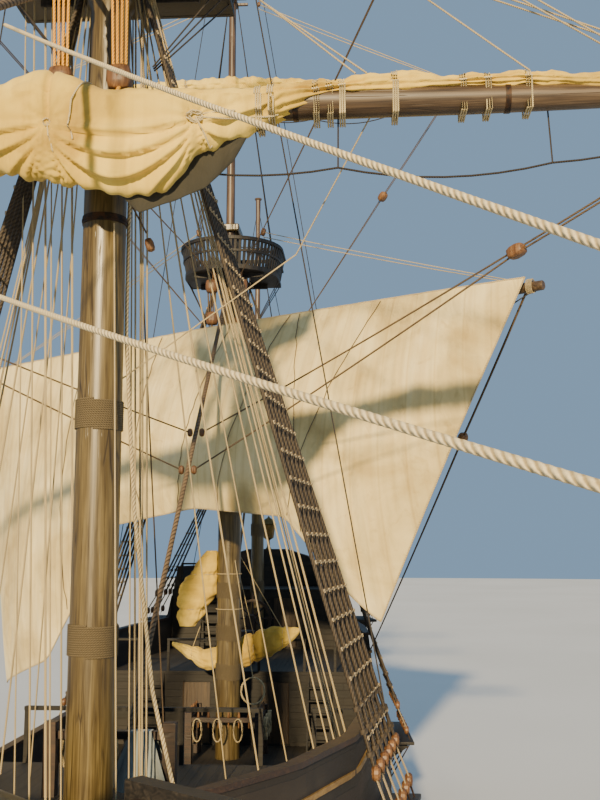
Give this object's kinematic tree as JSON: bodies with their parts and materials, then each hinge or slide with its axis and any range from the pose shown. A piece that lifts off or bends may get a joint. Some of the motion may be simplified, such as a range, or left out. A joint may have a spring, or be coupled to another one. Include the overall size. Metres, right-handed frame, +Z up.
{
  "type": "sailing_ship",
  "caption": "Square rigged tall ship afloat, with slatted tops, one course set and braced round, the other sails furled, and swinging yards, rudder and doors",
  "frame": {"origin": "On the centreline at the waterline, amidships.", "axes": "+X towards the bow, +Y to port, +Z up."},
  "size_m": [39.5818, 18.4, 33],
  "materials": {
    "dark_timber": "matte",
    "oiled_pine": "satin",
    "pale_deck": "matte",
    "red_timber": "satin",
    "tarred_rope": "matte",
    "canvas": "matte",
    "iron": "matte",
    "brass": "satin"
  },
  "bodies": {
    "ship": {"hull": "dark_timber", "keel_and_stem": "dark_timber", "stern_gallery": "red_timber", "beakhead": "dark_timber", "waist_deck": "pale_deck", "forecastle_deck": "pale_deck", "quarterdeck": "pale_deck", "poop_deck": "pale_deck", "forecastle_bulkhead": "red_timber", "cabin_bulkhead": "red_timber", "poop_bulkhead": "red_timber", "hatch_coaming": "dark_timber", "wheel_stand": "red_timber", "cathead_port": "dark_timber", "cathead_starboard": "dark_timber", "anchor_port": "iron", "anchor_starboard": "iron", "fore_bitts": "red_timber", "main_fife_rail": "red_timber", "stern_lantern": "brass", "bowsprit": "oiled_pine", "fore_lower_mast": "oiled_pine", "main_lower_mast": "oiled_pine", "mizzen_lower_mast": "oiled_pine", "fore_top": "dark_timber", "main_top": "dark_timber", "mizzen_top": "dark_timber", "fore_topmast": "oiled_pine", "main_topmast": "oiled_pine", "mizzen_topmast": "oiled_pine", "fore_shrouds_port": "tarred_rope", "fore_shrouds_starboard": "tarred_rope", "main_shrouds_port": "tarred_rope", "main_shrouds_starboard": "tarred_rope", "mizzen_shrouds_port": "tarred_rope", "mizzen_shrouds_starboard": "tarred_rope", "fore_stay": "tarred_rope", "main_stay": "tarred_rope", "mizzen_stay": "tarred_rope", "stowed_awning": "canvas", "stowed_staysail": "canvas"},
    "rudder": {"rudder": "dark_timber"},
    "wheel": {"steering_wheel": "oiled_pine"},
    "capstan": {"capstan": "red_timber"},
    "forecastle_door": {"forecastle_door": "oiled_pine"},
    "cabin_door_port": {"cabin_door_port": "oiled_pine"},
    "cabin_door_starboard": {"cabin_door_starboard": "oiled_pine"},
    "poop_door": {"poop_door": "oiled_pine"},
    "hatch_grating": {"hatch_grating": "dark_timber"},
    "spritsail_yard": {"spritsail_yard": "oiled_pine"},
    "fore_yard": {"fore_yard": "oiled_pine", "fore_course": "canvas"},
    "fore_topsail_yard": {"fore_topsail_yard": "oiled_pine", "fore_topsail": "canvas"},
    "main_yard": {"main_yard": "oiled_pine", "main_course": "canvas"},
    "main_topsail_yard": {"main_topsail_yard": "oiled_pine", "main_topsail": "canvas"},
    "mizzen_gaff": {"mizzen_gaff": "oiled_pine", "mizzen_sail": "canvas"}
  },
  "joints": [
    {"name": "rudder_swing", "type": "hinge", "parent": "ship", "child": "rudder", "pos_m": [-14.7805, 0, 0], "axis": [0, 0, 1], "range_deg": [-35, 35]},
    {"name": "wheel_turn", "type": "hinge", "parent": "ship", "child": "wheel", "pos_m": [-9.65, 0, 6.05], "axis": [1, 0, 0], "range_deg": [-700, 700]},
    {"name": "capstan_spin", "type": "hinge", "parent": "ship", "child": "capstan", "pos_m": [-7.3, 0, 5.4], "axis": [0, 0, 1], "continuous": true},
    {"name": "forecastle_door_swing", "type": "hinge", "parent": "ship", "child": "forecastle_door", "pos_m": [6.524, -0.376, 3.8], "axis": [0, 0, 1], "range_deg": [0, 100]},
    {"name": "cabin_door_port_swing", "type": "hinge", "parent": "ship", "child": "cabin_door_port", "pos_m": [-5.424, 1.476, 3.8], "axis": [0, 0, 1], "range_deg": [0, 100]},
    {"name": "cabin_door_starboard_swing", "type": "hinge", "parent": "ship", "child": "cabin_door_starboard", "pos_m": [-5.424, -1.476, 3.8], "axis": [0, 0, -1], "range_deg": [0, 100]},
    {"name": "poop_door_swing", "type": "hinge", "parent": "ship", "child": "poop_door", "pos_m": [-11.524, 1.276, 5.8], "axis": [0, 0, 1], "range_deg": [0, 100]},
    {"name": "hatch_lift", "type": "slide", "parent": "ship", "child": "hatch_grating", "axis": [0, 0, 1], "range_m": [0, 0.6]},
    {"name": "spritsail_yard_brace", "type": "hinge", "parent": "ship", "child": "spritsail_yard", "pos_m": [22.5, 0, 7.5], "axis": [0, 0, 1], "range_deg": [-30, 30]},
    {"name": "fore_yard_brace", "type": "hinge", "parent": "ship", "child": "fore_yard", "pos_m": [9.8, 0, 14.17], "axis": [0, 0, 1], "range_deg": [-38, 38]},
    {"name": "fore_topsail_yard_brace", "type": "hinge", "parent": "ship", "child": "fore_topsail_yard", "pos_m": [10.25, 0, 20.7], "axis": [0, 0, 1], "range_deg": [-38, 38]},
    {"name": "main_yard_brace", "type": "hinge", "parent": "ship", "child": "main_yard", "pos_m": [-3.8, 0, 13.85], "axis": [0, 0, -1], "range_deg": [-72, 4]},
    {"name": "main_topsail_yard_brace", "type": "hinge", "parent": "ship", "child": "main_topsail_yard", "pos_m": [-3.35, 0, 20.9], "axis": [0, 0, -1], "range_deg": [-38, 38]},
    {"name": "gaff_swing", "type": "hinge", "parent": "ship", "child": "mizzen_gaff", "pos_m": [-11, 0, 11.2], "axis": [0, 0, 1], "range_deg": [-40, 40]}
  ],
  "couplings": [
    {"joint": "wheel_turn", "follows": "rudder_swing", "ratio": 20}
  ]
}
